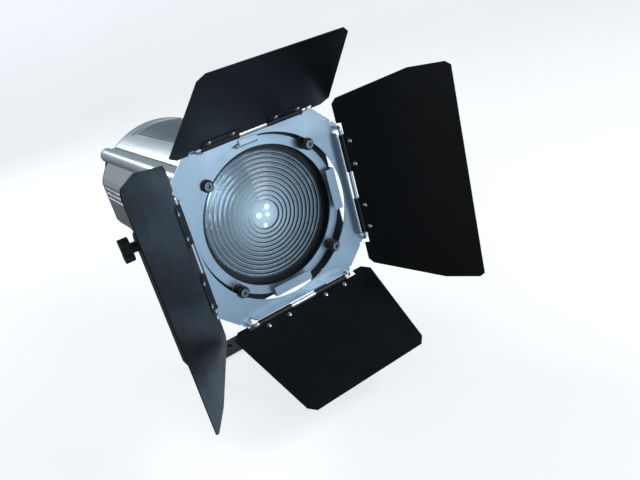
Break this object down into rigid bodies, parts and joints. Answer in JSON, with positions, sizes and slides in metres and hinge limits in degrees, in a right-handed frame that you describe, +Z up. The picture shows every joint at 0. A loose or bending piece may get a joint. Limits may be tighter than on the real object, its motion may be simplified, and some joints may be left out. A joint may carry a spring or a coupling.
{
  "type": "fresnel spotlight",
  "caption": "LED fresnel spotlight with ribbed silver housing, yoke with tilt locks, focusing lamp carriage and turning four-leaf barn doors.",
  "frame": {"origin": "centre of the clamp hole on the underside of the yoke", "axes": "-Y is the beam direction at rest, +X is to the right when facing the lens, +Z is up, away from the clamp"},
  "size_m": [0.4068, 0.5597, 0.463],
  "materials": {
    "yoke_black": "satin",
    "anodised": "satin anodised",
    "screen_mesh": "satin",
    "panel_black": "satin",
    "grey_plate": "satin",
    "bright_steel": "polished",
    "steel": "brushed",
    "black_plastic": "matte",
    "lens_glass": "polished",
    "seal_rubber": "matte",
    "circuit_board": "matte",
    "display": "gloss",
    "socket_grey": "matte",
    "button_grey": "matte",
    "carriage_metal": "satin",
    "brass": "satin",
    "dark_heatsink": "anodised",
    "led_phosphor": "gloss",
    "reflector_silver": "polished",
    "leaf_black": "satin"
  },
  "bodies": {
    "yoke": {"yoke": "yoke_black"},
    "head": {"side_profile_left": "anodised", "side_profile_right": "anodised", "top_cover": "anodised", "bottom_cover": "anodised", "vent_screens": "screen_mesh", "front_bezel": "panel_black", "lens_tube": "panel_black", "standoffs": "steel", "front_baffle": "panel_black", "front_ring": "grey_plate", "guide_rollers": "black_plastic", "guide_screws": "steel", "fresnel_lens": "lens_glass", "lens_gasket": "seal_rubber", "lens_holder": "panel_black", "lens_retainer": "panel_black", "bulkhead": "panel_black", "guide_rods": "steel", "driver_board": "circuit_board", "rear_panel": "panel_black", "display_window": "display", "panel_sockets": "socket_grey", "frame_screws": "bright_steel", "safety_loop": "steel", "pivot_inserts": "steel", "pivot_spacers": "black_plastic", "latch_pin": "bright_steel"},
    "latch": {"filter_latch": "grey_plate"},
    "menu_key": {"button_menu": "button_grey"},
    "up_key": {"button_up": "button_grey"},
    "down_key": {"button_down": "button_grey"},
    "enter_key": {"button_enter": "button_grey"},
    "focus_drive": {"focus_knob": "black_plastic", "lead_screw": "steel"},
    "carriage": {"carriage_plate": "carriage_metal", "carriage_bushes": "brass", "heatsink": "dark_heatsink", "led_module": "led_phosphor", "reflector": "reflector_silver", "fan_frame": "black_plastic"},
    "fan": {"fan_rotor": "black_plastic"},
    "lock_left": {"knob_left": "black_plastic", "stud_left": "steel"},
    "lock_right": {"knob_right": "black_plastic", "stud_right": "steel"},
    "barn_doors": {"door_plate": "grey_plate", "hinge_rods": "bright_steel"},
    "top_leaf": {"leaf_top": "leaf_black", "clips_top": "leaf_black", "rivets_top": "bright_steel"},
    "bottom_leaf": {"leaf_bottom": "leaf_black", "clips_bottom": "leaf_black", "rivets_bottom": "bright_steel"},
    "right_leaf": {"leaf_right": "leaf_black", "clips_right": "leaf_black", "rivets_right": "bright_steel"},
    "left_leaf": {"leaf_left": "leaf_black", "clips_left": "leaf_black", "rivets_left": "bright_steel"}
  },
  "joints": [
    {"name": "head_tilt", "type": "hinge", "parent": "yoke", "child": "head", "pos_m": [0, 0, 0.228], "axis": [1, 0, 0], "range_deg": [-60, 50]},
    {"name": "left_lock_turn", "type": "hinge", "parent": "head", "child": "lock_left", "pos_m": [-0.15, 0, 0.228], "axis": [-1, 0, 0], "range_deg": [0, 360]},
    {"name": "right_lock_turn", "type": "hinge", "parent": "head", "child": "lock_right", "pos_m": [0.15, 0, 0.228], "axis": [1, 0, 0], "range_deg": [0, 360]},
    {"name": "barn_door_turn", "type": "hinge", "parent": "head", "child": "barn_doors", "pos_m": [0, -0.193, 0.251], "axis": [0, -1, 0], "continuous": true},
    {"name": "top_leaf_fold", "type": "hinge", "parent": "barn_doors", "child": "top_leaf", "pos_m": [0, -0.205, 0.371], "axis": [1, 0, 0], "range_deg": [-66.5, 118.5]},
    {"name": "right_leaf_fold", "type": "hinge", "parent": "barn_doors", "child": "right_leaf", "pos_m": [0.12, -0.205, 0.251], "axis": [0, 0, -1], "range_deg": [-75, 65]},
    {"name": "bottom_leaf_fold", "type": "hinge", "parent": "barn_doors", "child": "bottom_leaf", "pos_m": [0, -0.205, 0.131], "axis": [-1, 0, 0], "range_deg": [-77.5, 101.5]},
    {"name": "left_leaf_fold", "type": "hinge", "parent": "barn_doors", "child": "left_leaf", "pos_m": [-0.12, -0.205, 0.251], "axis": [0, 0, 1], "range_deg": [-73, 67]},
    {"name": "latch_flip", "type": "hinge", "parent": "head", "child": "latch", "pos_m": [-0.005, -0.1865, 0.3546], "axis": [1, 0, 0], "range_deg": [0, 40]},
    {"name": "focus_turn", "type": "hinge", "parent": "head", "child": "focus_drive", "pos_m": [0.062, 0.191, 0.199], "axis": [0, 1, 0], "range_deg": [-720, 720]},
    {"name": "focus_slide", "type": "slide", "parent": "head", "child": "carriage", "axis": [0, 1, 0], "range_m": [-0.04, 0.04]},
    {"name": "fan_spin", "type": "hinge", "parent": "carriage", "child": "fan", "pos_m": [0, 0.075, 0.265], "axis": [0, 1, 0], "continuous": true},
    {"name": "menu_press", "type": "slide", "parent": "head", "child": "menu_key", "axis": [0, -1, 0], "range_m": [0, 0.0015], "stiffness_N_per_m": 400, "springref_m": -0.001},
    {"name": "up_press", "type": "slide", "parent": "head", "child": "up_key", "axis": [0, -1, 0], "range_m": [0, 0.0015], "stiffness_N_per_m": 400, "springref_m": -0.001},
    {"name": "down_press", "type": "slide", "parent": "head", "child": "down_key", "axis": [0, -1, 0], "range_m": [0, 0.0015], "stiffness_N_per_m": 400, "springref_m": -0.001},
    {"name": "enter_press", "type": "slide", "parent": "head", "child": "enter_key", "axis": [0, -1, 0], "range_m": [0, 0.0015], "stiffness_N_per_m": 400, "springref_m": -0.001}
  ],
  "couplings": [
    {"joint": "focus_turn", "follows": "focus_slide", "rad_per_m": 314.15}
  ]
}
